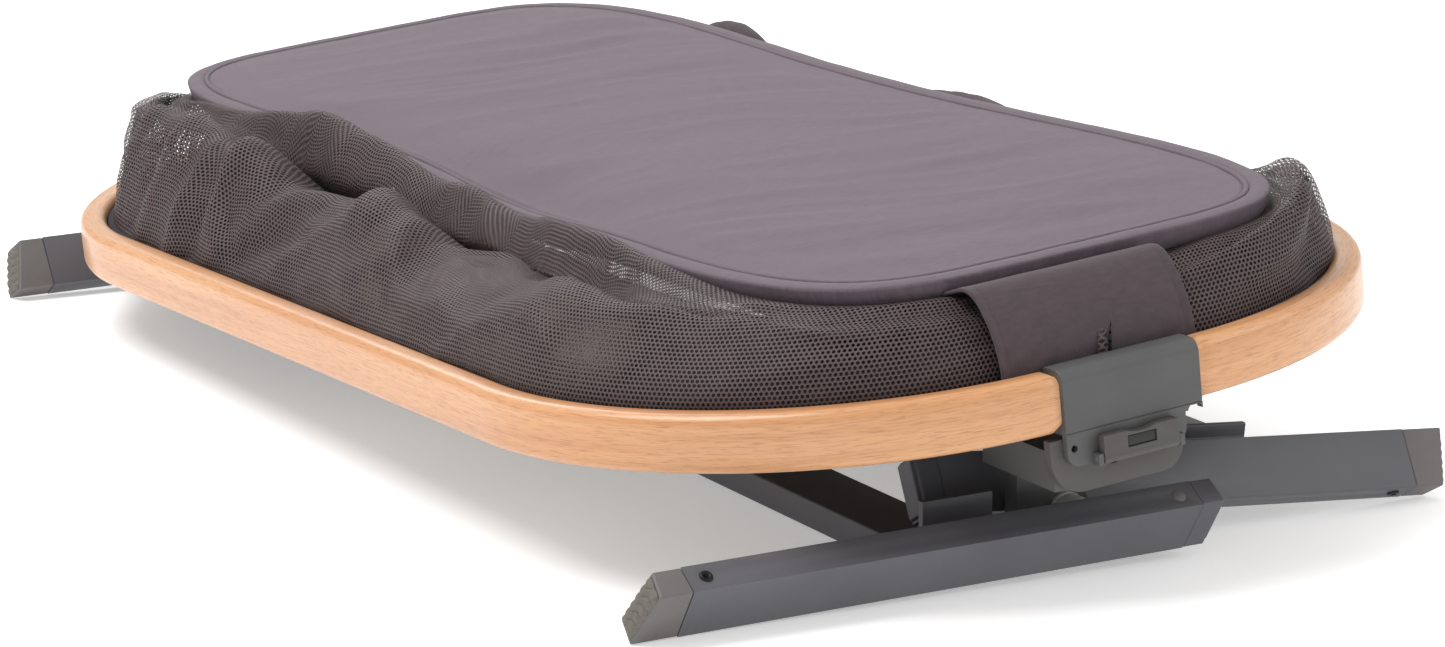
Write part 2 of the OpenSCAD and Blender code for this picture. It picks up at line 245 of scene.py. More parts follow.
class Nodes:
    """A short way to write a material's node tree."""

    def __init__(self, name):
        self.material = bpy.data.materials.new(name)
        self.material.use_nodes = True
        self.tree = self.material.node_tree
        self.shader = self.tree.nodes["Principled BSDF"]

    def add(self, kind, inputs=(), **settings):
        node = self.tree.nodes.new(kind)
        for key, value in settings.items():
            setattr(node, key, value)
        for key, value in dict(inputs).items():
            self.put(node, key, value)
        return node

    def put(self, node, key, value):
        if isinstance(value, bpy.types.NodeSocket):
            self.tree.links.new(value, node.inputs[key])
        else:
            node.inputs[key].default_value = value

    def set(self, **values):
        for key, value in values.items():
            self.put(self.shader, key.replace("_", " "), value)

    def maths(self, operation, a, b=0.0):
        return self.add("ShaderNodeMath", {0: a, 1: b}, operation=operation).outputs[0]

    def vector(self, operation, a, b=(0, 0, 0)):
        node = self.add("ShaderNodeVectorMath", {0: a, 1: b}, operation=operation)
        return node.outputs["Value" if operation in ("LENGTH", "DOT_PRODUCT") else "Vector"]

    def place(self):
        return self.add("ShaderNodeTexCoord").outputs["Object"]

    def run(self):
        return self.add("ShaderNodeUVMap", uv_map="run").outputs["UV"]

    def noise(self, where, scale, detail=3.0, roughness=0.55, distortion=0.0):
        return self.add("ShaderNodeTexNoise", {"Vector": where, "Scale": scale, "Detail": detail,
                        "Roughness": roughness, "Distortion": distortion}).outputs["Fac"]

    def ramp(self, value, stops):
        node = self.add("ShaderNodeValToRGB", {"Fac": value})
        node.color_ramp.elements[0].position, node.color_ramp.elements[0].color = stops[0]
        node.color_ramp.elements[1].position, node.color_ramp.elements[1].color = stops[-1]
        for position, colour in stops[1:-1]:
            node.color_ramp.elements.new(position).color = colour
        return node.outputs["Color"]

    def remap(self, value, low, high, to_low, to_high):
        return self.add("ShaderNodeMapRange", {"Value": value, "From Min": low, "From Max": high,
                        "To Min": to_low, "To Max": to_high}).outputs["Result"]

    def mix(self, factor, a, b):
        node = self.add("ShaderNodeMix", data_type="RGBA")
        for key, value in ((0, factor), (6, a), (7, b)):
            self.put(node, key, value)
        return node.outputs[2]

    def bump(self, height, strength, distance, normal=None):
        inputs = {"Height": height, "Strength": strength, "Distance": distance}
        if normal is not None:
            inputs["Normal"] = normal
        return self.add("ShaderNodeBump", inputs).outputs["Normal"]


def scaled(colour, factor):
    """A colour made darker or lighter, with no channel above 1."""
    return tuple(min(c * factor, 1.0) for c in colour[:3]) + (1.0,)


def linear(r, g, b):
    """A linear colour from the usual 0 to 255 screen values."""
    def one(c):
        c /= 255
        return c / 12.92 if c <= 0.04045 else ((c + 0.055) / 1.055) ** 2.4
    return (one(r), one(g), one(b), 1.0)


# ---------------------------------------------------------------- materials

def wood_material():
    """Bent beech under satin varnish: fine streaks and pores along the run, darker growth bands."""
    n = Nodes("wood_beech")
    uv = n.run()
    fine = n.noise(n.vector("MULTIPLY", uv, (75, 1300, 1)), 1.0, 5.0, 0.6)
    streak = n.noise(n.vector("MULTIPLY", uv, (5, 210, 1)), 1.0, 4.0, 0.55, 0.4)
    band = n.noise(n.vector("MULTIPLY", uv, (1.8, 42, 1)), 1.0, 3.0, 0.5, 0.7)
    pores = n.noise(n.vector("MULTIPLY", uv, (120, 1700, 1)), 1.0, 2.0, 0.5)
    pore_mask = n.remap(pores, 0.60, 0.70, 0.0, 1.0)
    base = n.ramp(band, [(0.30, linear(184, 125, 80)), (0.52, linear(201, 145, 98)),
                         (0.72, linear(213, 162, 115))])
    base = n.mix(n.remap(streak, 0.35, 0.65, 0.0, 0.40), base, linear(220, 170, 124))
    base = n.mix(n.remap(fine, 0.50, 0.66, 0.0, 0.42), base, linear(150, 92, 54))
    base = n.mix(n.maths("MULTIPLY", pore_mask, 0.35), base, linear(120, 72, 42))
    n.set(Base_Color=base, Roughness=n.remap(fine, 0.3, 0.7, 0.30, 0.42))
    n.set(Coat_Weight=0.35, Coat_Roughness=0.18, Specular_IOR_Level=0.45)
    n.set(Normal=n.bump(fine, 0.12, 0.0003, n.bump(pore_mask, 0.15, -0.0002)))
    return n.material


def paint_material():
    """Blue-grey powder coat with a fine orange peel."""
    n = Nodes("leg_powder_coat")
    where = n.place()
    grain = n.noise(where, 1600.0, 2.0)
    cloud = n.noise(where, 14.0, 3.0)
    n.set(Base_Color=n.mix(n.remap(cloud, 0.3, 0.7, 0, 1), linear(80, 80, 85), linear(89, 89, 94)))
    n.set(Roughness=n.remap(grain, 0.3, 0.7, 0.40, 0.52), Specular_IOR_Level=0.45)
    n.set(Normal=n.bump(grain, 0.22, 0.0002))
    return n.material


def plastic_material(name, colour, rough=0.5, grain_strength=0.2):
    """Moulded plastic with a fine spark texture and faint flow marks."""
    n = Nodes(name)
    where = n.place()
    grain = n.noise(where, 2200.0, 2.0)
    flow = n.noise(n.vector("MULTIPLY", where, (30, 12, 60)), 1.0, 3.0)
    n.set(Base_Color=n.mix(n.remap(flow, 0.3, 0.7, 0, 1), scaled(colour, 0.88), colour))
    n.set(Roughness=n.remap(grain, 0.3, 0.7, rough - 0.06, rough + 0.08), Specular_IOR_Level=0.4)
    n.set(Normal=n.bump(grain, grain_strength, 0.0002))
    return n.material


def rubber_material():
    """Matt grey-brown rubber with a fine grain."""
    n = Nodes("foot_rubber")
    grain = n.noise(n.place(), 900.0, 4.0)
    n.set(Base_Color=n.mix(n.remap(grain, 0.3, 0.7, 0, 1), linear(92, 88, 82), linear(108, 103, 96)))
    n.set(Roughness=0.75, Normal=n.bump(grain, 0.3, 0.0003))
    return n.material


def steel_material(name, colour, rough):
    """Metal with fine drawn scratches."""
    n = Nodes(name)
    scratch = n.noise(n.vector("MULTIPLY", n.place(), (400, 60, 400)), 1.0, 3.0)
    n.set(Base_Color=colour, Metallic=1.0, Roughness=n.remap(scratch, 0.3, 0.7, rough - 0.08, rough + 0.1))
    n.set(Normal=n.bump(scratch, 0.1, 0.0001))
    return n.material


def weave_material(name, colour, thread=0.55, sheen=0.25):
    """Plain woven cloth: crossing threads from object places, with slubs and a soft fuzz."""
    n = Nodes(name)
    where = n.place()
    turns = 2 * math.pi / (thread * MM)
    spot = n.add("ShaderNodeSeparateXYZ", {0: where})
    warp = n.maths("SINE", n.maths("MULTIPLY", spot.outputs["X"], turns))
    weft = n.maths("SINE", n.maths("MULTIPLY", spot.outputs["Y"], turns))
    cross = n.maths("MULTIPLY", warp, weft)
    slub = n.noise(n.vector("MULTIPLY", where, (160, 900, 160)), 1.0, 3.0)
    cloud = n.noise(where, 9.0, 4.0)
    base = n.mix(n.remap(slub, 0.3, 0.7, 0, 1), scaled(colour, 0.80), scaled(colour, 1.16))
    base = n.mix(n.remap(cloud, 0.35, 0.65, 0.0, 0.35), base, scaled(colour, 0.9))
    n.set(Base_Color=base, Roughness=n.remap(slub, 0.3, 0.7, 0.72, 0.86))
    n.set(Sheen_Weight=sheen, Sheen_Roughness=0.45, Specular_IOR_Level=0.25)
    n.shader.inputs["Sheen Tint"].default_value = (0.9, 0.86, 0.9, 1.0)
    n.set(Normal=n.bump(n.maths("ADD", cross, slub), 0.35, 0.00025))
    return n.material


def net_material(name, colour, hole, sheen):
    """Knitted spacer mesh: round holes of radius hole mm in offset rows, really open, with raised
    threads between."""
    n = Nodes(name)
    uv = n.run()
    cell = (NET_PITCH * MM, NET_PITCH * MM * math.sqrt(3), 1.0)
    inverse = tuple(1 / c for c in cell)
    drift = n.noise(n.vector("MULTIPLY", uv, (90, 90, 1)), 1.0, 2.0)
    cells = n.vector("MULTIPLY", uv, inverse)
    near = []
    for shift in ((0, 0, 0), (0.5, 0.5, 0)):
        cellwise = n.vector("FRACTION", n.vector("ADD", cells, shift))
        offset = n.vector("MULTIPLY", n.vector("SUBTRACT", cellwise, (0.5, 0.5, 0)), cell)
        flat = n.vector("MULTIPLY", offset, (1, 1, 0))
        near.append(n.vector("LENGTH", flat))
    distance = n.maths("MINIMUM", near[0], near[1])
    radius = n.remap(drift, 0.3, 0.7, hole * 0.92 * MM, hole * 1.08 * MM)
    solid = n.add("ShaderNodeMapRange", {"Value": n.maths("SUBTRACT", distance, radius),
                  "From Min": -0.00008, "From Max": 0.00016, "To Min": 0.0, "To Max": 1.0}).outputs["Result"]
    fibre = n.noise(n.vector("MULTIPLY", uv, (2600, 2600, 1)), 1.0, 2.0)
    cloud = n.noise(n.place(), 12.0, 3.0)
    base = n.mix(n.remap(fibre, 0.3, 0.7, 0, 1), scaled(colour, 0.7), scaled(colour, 1.25))
    base = n.mix(n.remap(cloud, 0.35, 0.65, 0.0, 0.3), base, scaled(colour, 0.85))
    n.set(Base_Color=base, Roughness=0.6, Specular_IOR_Level=0.4)
    n.set(Sheen_Weight=sheen, Sheen_Roughness=0.4)
    n.set(Normal=n.bump(n.maths("ADD", solid, n.maths("MULTIPLY", fibre, 0.3)), 0.6, 0.0006))
    n.set(Alpha=solid)
    return n.material


def shade_sheet_material():
    """A dark sheet behind the mesh that paints the shade in the seat's hollow, with a patchy lighter panel at
    the seat's left front corner that paints light seen through the mesh.
    """
    n = Nodes("painted_shade_sheet")
    spot = n.add("ShaderNodeSeparateXYZ", {0: n.run()})
    weave = n.noise(n.place(), 1400.0, 2.0)
    # Painted shade and painted light: the dark tone stands for the shade in the hollow behind the mesh, and
    # the pale patch for light seen through the mesh at the left front corner.
    dark = linear(34, 30, 32)
    pale = linear(226, 206, 178)
    panel = n.ramp(spot.outputs["X"], [(0.20, (0, 0, 0, 1)), (0.27, (1, 1, 1, 1)), (0.53, (1, 1, 1, 1)),
                                       (0.60, (0, 0, 0, 1))])
    cloud = n.remap(n.noise(n.place(), 16.0, 2.0), 0.42, 0.60, 0.0, 1.0)
    n.set(Base_Color=n.mix(n.maths("MULTIPLY", panel, cloud), dark, pale))
    n.set(Roughness=0.85, Normal=n.bump(weave, 0.4, 0.0003))
    return n.material


def floor_material():
    """A pale matt floor that glows a little, so that it fades into the white around it."""
    n = Nodes("studio_floor")
    grain = n.noise(n.place(), 30.0, 2.0)
    n.set(Base_Color=n.mix(grain, (0.86, 0.86, 0.86, 1), (0.88, 0.88, 0.88, 1)), Roughness=0.7)
    n.set(Emission_Color=(1, 1, 1, 1), Emission_Strength=FLOOR_GLOW)
    return n.material


WOOD = wood_material()
PAINT = paint_material()
BRACKET = plastic_material("bracket_plastic", linear(85, 84, 84), 0.5, 0.25)
CAP = plastic_material("cap_plastic", linear(104, 101, 100), 0.52, 0.25)
HUB = plastic_material("hub_plastic", linear(80, 77, 76), 0.5, 0.25)
BLACK = plastic_material("black_plastic", linear(34, 34, 34), 0.45, 0.15)
WHITE = plastic_material("white_plastic", linear(200, 200, 196), 0.45, 0.1)
RUBBER = rubber_material()
STEEL = steel_material("bright_steel", (0.62, 0.62, 0.63, 1), 0.32)
BLACK_STEEL = steel_material("black_steel", (0.03, 0.03, 0.032, 1), 0.4)
PAD_CLOTH = weave_material("pad_fabric", linear(103, 92, 99), 0.6, 0.16)
SHADE_SHEET = shade_sheet_material()
BAND_CLOTH = weave_material("band_fabric", linear(77, 67, 71), 0.8, 0.1)
HEM_CLOTH = weave_material("hem_fabric", linear(46, 42, 45), 0.8, 0.05)
NET = net_material("mesh_fabric", linear(81, 67, 68), 0.68, 0.04)
# Painted shade: the back ply is coloured near black, much darker than the front ply, to stand for the shade
# behind the front ply.
NET_BACK_SHADE = net_material("mesh_fabric_back_painted_shade", linear(26, 22, 23), 0.62, 0.0)
# Painted shade: the board is coloured dark, so that where it shows between the pad and the wall it reads as
# shaded.
BOARD_PAINTED_SHADE = plastic_material("board_wood", linear(96, 80, 66), 0.7, 0.2)


# ---------------------------------------------------------------- outlines in the seat's frame

def rounded_loop(width, length, radius, s):
    """Point and outward normal on a round-cornered rectangle, s mm along it from the front middle
    towards -X; the front is at -Y."""
    straight_x, straight_y = width / 2 - radius, length / 2 - radius
    arc = math.pi * radius / 2
    total = 4 * straight_x + 4 * straight_y + 4 * arc
    s = s % total
    mirrored = s > total / 2
    if mirrored:
        s = total - s
    if s < straight_x:
        x, y, nx, ny = -s, -length / 2, 0.0, -1.0
    elif s < straight_x + arc:
        a = (s - straight_x) / radius
        nx, ny = -math.sin(a), -math.cos(a)
        x, y = -straight_x + radius * nx, -straight_y + radius * ny
    elif s < straight_x + arc + 2 * straight_y:
        x, y, nx, ny = -width / 2, -straight_y + (s - straight_x - arc), -1.0, 0.0
    elif s < straight_x + 2 * arc + 2 * straight_y:
        a = (s - straight_x - arc - 2 * straight_y) / radius
        nx, ny = -math.cos(a), math.sin(a)
        x, y = -straight_x + radius * nx, straight_y + radius * ny
    else:
        x, y, nx, ny = -(total / 2 - s), length / 2, 0.0, 1.0
    if mirrored:
        x, nx = -x, -nx
    return x, y, nx, ny


def loop_length(width, length, radius):
    """The length of that rectangle's outline."""
    return 2 * (width + length) - 8 * radius + 2 * math.pi * radius


def pad_half_width(v):
    """Half the pad's width at v, from -1 at its front end to 1 at its rear end."""
    return PAD_HALF_WAIST + (PAD_HALF_END - PAD_HALF_WAIST) * smooth_step(0.05, 0.85, abs(v))


def pad_outline(count):
    """The pad's hourglass outline as evenly spaced points with outward normals, from the front
    middle towards -X."""
    fine = 2880
    dense = []
    for k in range(fine):
        a = 2 * math.pi * k / fine
        c, s = -math.cos(a), -math.sin(a)
        v = math.copysign(abs(c) ** PAD_CORNER, c)
        u = math.copysign(abs(s) ** PAD_CORNER, s)
        dense.append((PAD_X + u * pad_half_width(v), PAD_Y + v * PAD_HALF_LENGTH))
    dense = np.array(dense)
    steps = np.linalg.norm(np.roll(dense, -1, 0) - dense, axis=1)
    along = np.concatenate([[0], np.cumsum(steps)])
    closed = np.vstack([dense, dense[:1]])
    places = np.arange(count) * along[-1] / count
    points = np.c_[np.interp(places, along, closed[:, 0]), np.interp(places, along, closed[:, 1])]
    tangent = np.roll(points, -3, 0) - np.roll(points, 3, 0)
    tangent /= np.linalg.norm(tangent, axis=1)[:, None]
    return points, np.c_[-tangent[:, 1], tangent[:, 0]]


def pad_top(y):
    """Height of the pad's top edge, which rises from its front end to its rear end."""
    t = (y - PAD_Y + PAD_HALF_LENGTH) / (2 * PAD_HALF_LENGTH)
    return PAD_TOP_NEAR + (PAD_TOP_FAR - PAD_TOP_NEAR) * smooth_step(0.0, 1.0, t)


def pad_sag(x, y):
    """How far the soft pad droops along its left side, where nothing holds it up."""
    near_edge = math.exp(-max(x + 118, 0.0) ** 2 / 46 ** 2)
    return 9.0 * near_edge * math.exp(-((y + 42) / 92) ** 2)


# ---------------------------------------------------------------- wood ring and brackets

def ring_section(corner_steps=6):
    """The wood's rounded section as (inwards, up) points."""
    points = []
    for k, (cx, cz) in enumerate(((RING_T - RING_EDGE, RING_H - RING_EDGE), (RING_EDGE, RING_H - RING_EDGE),
                                  (RING_EDGE, RING_EDGE), (RING_T - RING_EDGE, RING_EDGE))):
        for i in range(corner_steps + 1):
            a = math.pi / 2 * (k + i / corner_steps)
            points.append((cx + RING_EDGE * math.cos(a), cz + RING_EDGE * math.sin(a)))
    return np.array(points)


def make_ring_half(name, start, end):
    """One bent half of the wood ring between the two brackets, with softly rounded ends."""
    section = ring_section()
    count, rounding = 260, 2.5
    middle = np.array([RING_T / 2, RING_H / 2])
    girth = np.concatenate([[0], np.cumsum(np.linalg.norm(np.diff(section, axis=0), axis=1))])
    rows, runs = [], []
    for i in range(count):
        t = i / (count - 1)
        s = start + (end - start) * t
        edge = min(t, 1 - t) * abs(end - start)
        shrink = 1 - 0.16 * (1 - min(edge / rounding, 1.0)) ** 2
        x, y, nx, ny = rounded_loop(RING_W, RING_L, RING_R, s)
        ring = middle + (section - middle) * shrink
        rows.append([(x - nx * p, y - ny * p, z) for p, z in ring])
        runs.append(s * MM)
    obj = grid_object(name, rows, closed_v=True, matrix=SEAT, caps=True,
                      uv=lambda p, q: (runs[min(p, count - 1)], girth[q % len(girth)] * MM))
    return dress(obj, "seat_frame", WOOD, ["wood_ring"])


def make_wood_ring():
    """Both halves of the ring. Each ends where a bracket's sleeve ends."""
    total = loop_length(RING_W, RING_L, RING_R)
    make_ring_half("ring_left", -BRACKET_LEFT, total / 2 + BRACKET_LEFT)
    make_ring_half("ring_right", total / 2 + BRACKET_RIGHT, total - BRACKET_RIGHT)


def sleeve_section(steps=7):
    """The bracket's sleeve round the wood as (inwards, up) points, with well rounded corners."""
    outer, inner, foot = 5.6, 3.0, 1.6
    skin, low = 1.5, 1.0
    corners = ((RING_T - inner, RING_H + low - inner, inner), (outer - skin, RING_H + low - outer, outer),
               (foot - skin, foot - low, foot), (RING_T - foot, foot - low, foot))
    points = []
    for k, (cx, cz, r) in enumerate(corners):
        for i in range(steps + 1):
            a = math.pi / 2 * (k + i / steps)
            points.append((cx + r * math.cos(a), cz + r * math.sin(a)))
    return points


def make_sleeve(end):
    """The smooth sleeve of a bracket, straight along X, with its two rims rounded."""
    sign = -1 if end == "front" else 1
    middle_in, middle_up = RING_T / 2, RING_H / 2
    places = [(BRACKET_LEFT, 0.4), (BRACKET_LEFT + 0.15, 0.15), (BRACKET_LEFT + 0.5, 0.0),
              (BRACKET_RIGHT - 0.5, 0.0), (BRACKET_RIGHT - 0.15, 0.15), (BRACKET_RIGHT, 0.4)]
    rows = []
    for x, shrink in places:
        row = []
        for inwards, up in sleeve_section():
            away = math.hypot(inwards - middle_in, up - middle_up)
            k = 1 - shrink / away
            inwards, up = middle_in + (inwards - middle_in) * k, middle_up + (up - middle_up) * k
            row.append((x, sign * (RING_L / 2 - inwards), up))
        rows.append(row)
    obj = grid_object(end + "_bracket_sleeve", rows, closed_v=True, matrix=SEAT, caps=True)
    merge_close(obj, 0.001)
    add_modifier(obj, "WEIGHTED_NORMAL", weight=80, keep_sharp=True)
    dress(obj, "seat_frame", BRACKET)


def make_brackets():
    """Both end brackets with their sleeves, latches, hub plates and housings."""
    for end in ("front", "rear"):
        softened(end + "_bracket", 0.9, "seat_frame", BRACKET, below=-0.4)
        make_sleeve(end)
        softened(end + "_hub_plate", 1.4, "stand_head", HUB)
        softened(end + "_housing", 1.5, "stand_head", BRACKET)
        softened(end + "_latch", 0.9, end + "_latch_lever", HUB)
        softened(end + "_latch_insert", 0.4, end + "_latch_lever", BLACK)


# ---------------------------------------------------------------- pad

def wrinkle(x, y):
    """Height of the pad's soft wrinkles: long streaks that run across the width, a little skewed."""
    along = 0.95 * x - 0.30 * y
    across = 0.30 * x + 0.95 * y
    drift = 26 * wobble(along, across, 0, 160, 1)
    height = 0.0
    for wave, size, seed in ((62, 2.4, 2), (37, 1.5, 3), (21, 0.6, 4)):
        swell = wobble(along * 0.28, across + drift, seed * 40, wave, seed)
        gate = 0.35 + 0.65 * max(0.0, wobble(along, across, 10, 150, seed + 5) + 0.45)
        height += size * gate * (1 - 2.4 * abs(swell))
    return height


def make_pad():
    """The mattress: crowned top, a piped seam near the edge, a rolled border and a flat back."""
    count, inner_rings = 420, 46
    edge, normal = pad_outline(count)
    centre_line = np.c_[np.full(count, PAD_X), PAD_Y + (edge[:, 1] - PAD_Y) * 0.62]
    border = [(0.5, -1.1), (0.25, -2.4), (-0.2, -4.5), (-1.2, -7.5), (-3.2, -10.5), (-7.0, -12.6),
              (-12.0, -13.0)]
    seam = [(PIPING_INSET + 2.2, -0.15), (PIPING_INSET + 1.0, -1.0), (PIPING_INSET, -1.7),
            (PIPING_INSET - 1.0, -1.0), (PIPING_INSET - 2.4, 0.1), (5.0, 0.35), (2.6, 0.15), (1.2, -0.35)]
    rows = []
    for i in range(count):
        px, py = edge[i]
        nx, ny = normal[i]
        row = []
        inner = np.array([px - nx * (PIPING_INSET + 3.6), py - ny * (PIPING_INSET + 3.6)])
        for k in range(inner_rings):
            t = k / (inner_rings - 1)
            bend = t ** 0.85
            x, y = centre_line[i] + (inner - centre_line[i]) * bend
            near = np.linalg.norm(inner - np.array([x, y]))
            crown = 3.4 * (1 - math.exp(-near / 26))
            top = pad_top(y) - pad_sag(x, y) - 1.5 + crown * 0.8
            row.append((x, y, top + wrinkle(x, y) * smooth_step(0, 30, near)))
        for inset, drop in seam:
            x, y = px - nx * inset, py - ny * inset
            row.append((x, y, pad_top(y) - pad_sag(x, y) - 1.2 + drop + 0.25 * wobble(x, y, 3, 18, 9)))
        for out, drop in border:
            x, y = px + nx * out, py + ny * out
            row.append((x, y, pad_top(y) - pad_sag(x, y) - 1.0 + drop + 0.35 * wobble(x, y, drop, 30, 11)))
        x, y = centre_line[i]
        row.append((px - nx * 17, py - ny * 17, PAD_BACK))
        row.append(((x + px) / 2, (y + py) / 2, PAD_BACK))
        row.append((x, y, PAD_BACK))
        rows.append(row)
    obj = grid_object("pad_cushion", rows, closed_u=True, matrix=SEAT)
    merge_close(obj, 0.4)
    dress(obj, "seat_frame", PAD_CLOTH, ["seat_pad"])
    make_piping(edge, normal)


def make_piping(edge, normal):
    """The corded seam between the pad's top and its border."""
    path = [(p[0] - n[0] * PIPING_INSET, p[1] - n[1] * PIPING_INSET, pad_top(p[1]) - pad_sag(*p) - 1.9)
            for p, n in zip(edge, normal)]
    obj = grid_object("pad_piping", tube_rows(path, PIPING_RADIUS), closed_u=True, closed_v=True, matrix=SEAT)
    dress(obj, "seat_frame", PAD_CLOTH)


# ---------------------------------------------------------------- mesh cradle

INNER_W, INNER_L, INNER_R = RING_W - 2 * RING_T, RING_L - 2 * RING_T, RING_R - RING_T
INNER_TOTAL = loop_length(INNER_W, INNER_L, INNER_R)

# Shape of the gathered wall at stations round the ring, from the front middle towards -X. A row has the
# distance in mm, then the share of the way to the pad and the height in mm of the crest, of the hollow,
# of the roll's belly and of the roll's top, and last how far past the pad's edge the roll is tucked.
WALL = [
    (0, 0.30, 48, 0.50, 51, 0.66, 54, 0.84, 56, 0),
    (90, 0.30, 50, 0.52, 53, 0.68, 55, 0.86, 57, 0),
    (164, 0.34, 53, 0.54, 55, 0.72, 56, 0.90, 58, 0),
    (215, 0.42, 58, 0.60, 54, 0.76, 56, 0.93, 62, 0),
    (262, 0.50, 61, 0.66, 50, 0.80, 54, 0.95, 66, 0.02),
    (295, 0.50, 59, 0.72, 48, 0.83, 53, 0.96, 68, 0.03),
    (330, 0.48, 54, 0.76, 46, 0.83, 52, 0.97, 68, 0.04),
    (378, 0.46, 48, 0.80, 44, 0.83, 50, 0.98, 66, 0.06),
    (403, 0.47, 49, 0.82, 44, 0.82, 48, 0.98, 62, 0.07),
    (432, 0.48, 52, 0.85, 40, 0.82, 49, 0.97, 61, 0.08),
    (452, 0.49, 62, 0.86, 39, 0.81, 48, 0.97, 62, 0.09),
    (472, 0.48, 67, 0.88, 39, 0.81, 49, 0.97, 65, 0.10),
    (500, 0.47, 64, 0.88, 39, 0.81, 49, 0.96, 65, 0.10),
    (530, 0.46, 60, 0.88, 39, 0.80, 53, 0.96, 68, 0.10),
    (565, 0.46, 60, 0.88, 40, 0.79, 58, 0.96, 74, 0.11),
    (598, 0.47, 61, 0.87, 41, 0.78, 58, 0.96, 79, 0.12),
    (617, 0.47, 72, 0.86, 44, 0.78, 60, 0.96, 82, 0.12),
    (640, 0.47, 80, 0.82, 50, 0.78, 61, 0.95, 84, 0.12),
    (662, 0.46, 74, 0.78, 54, 0.78, 63, 0.94, 83, 0.12),
    (690, 0.47, 80, 0.74, 62, 0.80, 68, 0.93, 82, 0.10),
    (725, 0.46, 80, 0.70, 68, 0.80, 71, 0.92, 79, 0.06),
    (790, 0.40, 74, 0.60, 70, 0.78, 71, 0.90, 76, 0.02),
    (855, 0.40, 67, 0.60, 63, 0.74, 64, 0.86, 67, 0),
    (940, 0.40, 56, 0.56, 56, 0.70, 58, 0.82, 61, 0),
    (1020, 0.34, 52, 0.52, 54, 0.68, 56, 0.80, 58, 0),
    (1100, 0.34, 50, 0.52, 51, 0.68, 54, 0.80, 57, 0),
    (1185, 0.36, 46, 0.54, 46, 0.70, 50, 0.84, 55, 0),
    (1315, 0.36, 42, 0.56, 41, 0.72, 46, 0.86, 53, 0),
    (1530, 0.36, 40, 0.56, 39, 0.72, 45, 0.86, 51, 0),
    (1700, 0.34, 42, 0.56, 41, 0.72, 45, 0.86, 50, 0),
    (1770, 0.28, 50, 0.50, 48, 0.68, 49, 0.84, 52, 0),
    (1830, 0.18, 60, 0.42, 58, 0.62, 56, 0.82, 56, 0),
    (1885, 0.16, 63, 0.42, 60, 0.62, 58, 0.82, 57, 0),
    (1935, 0.22, 56, 0.48, 55, 0.66, 56, 0.82, 57, 0),
    (1985, 0.28, 50, 0.50, 52, 0.66, 54, 0.82, 56, 0),
]


def wall_base(count, across):
    """The wall's smooth shape: points[s][v] from the hem at v = 0 to the underside of the pad's edge."""
    edge, _ = pad_outline(count)
    stations, *columns = zip(*WALL)
    places = [0.0, 0.14, 0.30, 0.47, 0.63, 0.75, 0.88, 1.0]
    rows = []
    for i in range(count):
        s = INNER_TOTAL * i / count
        x, y, _, _ = rounded_loop(INNER_W - 2, INNER_L - 2, INNER_R - 1, s)
        reach_x, reach_y = edge[i][0] - x, edge[i][1] - y
        shape = [spline(stations, column, s, INNER_TOTAL) for column in columns]
        crest, crest_up, hollow, hollow_up, belly, belly_up, roll, roll_up, past = shape
        under_pad = pad_top(edge[i][1]) - 11
        tuck = max(past, 9 / math.hypot(reach_x, reach_y))
        roll_up = max(roll_up, under_pad - 1)
        lean = 0.12 * math.exp(-((s - 850) / 120) ** 4)
        share = [0.015, 0.02 * crest + lean, 0.05 + 0.22 * crest + lean, crest + 0.4 * lean,
                 hollow, belly, roll, 1.0 + tuck]
        height = [17, 28, 20 + 0.60 * (crest_up - 20), crest_up,
                  hollow_up, belly_up, roll_up, max(roll_up - 8 - 20 * past, under_pad)]
        row = []
        for v in across:
            f = spline(places, share, v)
            row.append((x + reach_x * f, y + reach_y * f, spline(places, height, v)))
        rows.append(row)
    return np.array(rows)


def grid_normals(points):
    """Outward and upward normals of a wall grid that closes along its first direction."""
    along = np.roll(points, -1, 0) - np.roll(points, 1, 0)
    across = np.gradient(points, axis=1)
    normals = np.cross(along, across)
    normals /= np.linalg.norm(normals, axis=2)[..., None] + 1e-9
    if normals[:, 10, 2].mean() < 0:
        normals = -normals
    return normals


def ridge(s, v, start, end, width, height):
    """A rounded, slightly bowed fold from start to end; each is (distance, place across)."""
    px, py = s - start[0], (v - start[1]) * WALL_WIDTH
    dx, dy = end[0] - start[0], (end[1] - start[1]) * WALL_WIDTH
    length = math.hypot(dx, dy)
    t = (px * dx + py * dy) / length
    side = (px * dy - py * dx) / length
    side = side + 0.12 * length * np.sin(math.pi * np.clip(t / length, 0, 1))
    ends = np.clip(np.minimum(t, length - t) / (0.35 * length) + 0.5, 0, 1)
    ends = ends * ends * (3 - 2 * ends)
    return height * ends / (1 + (np.abs(side) / width) ** 2.0)


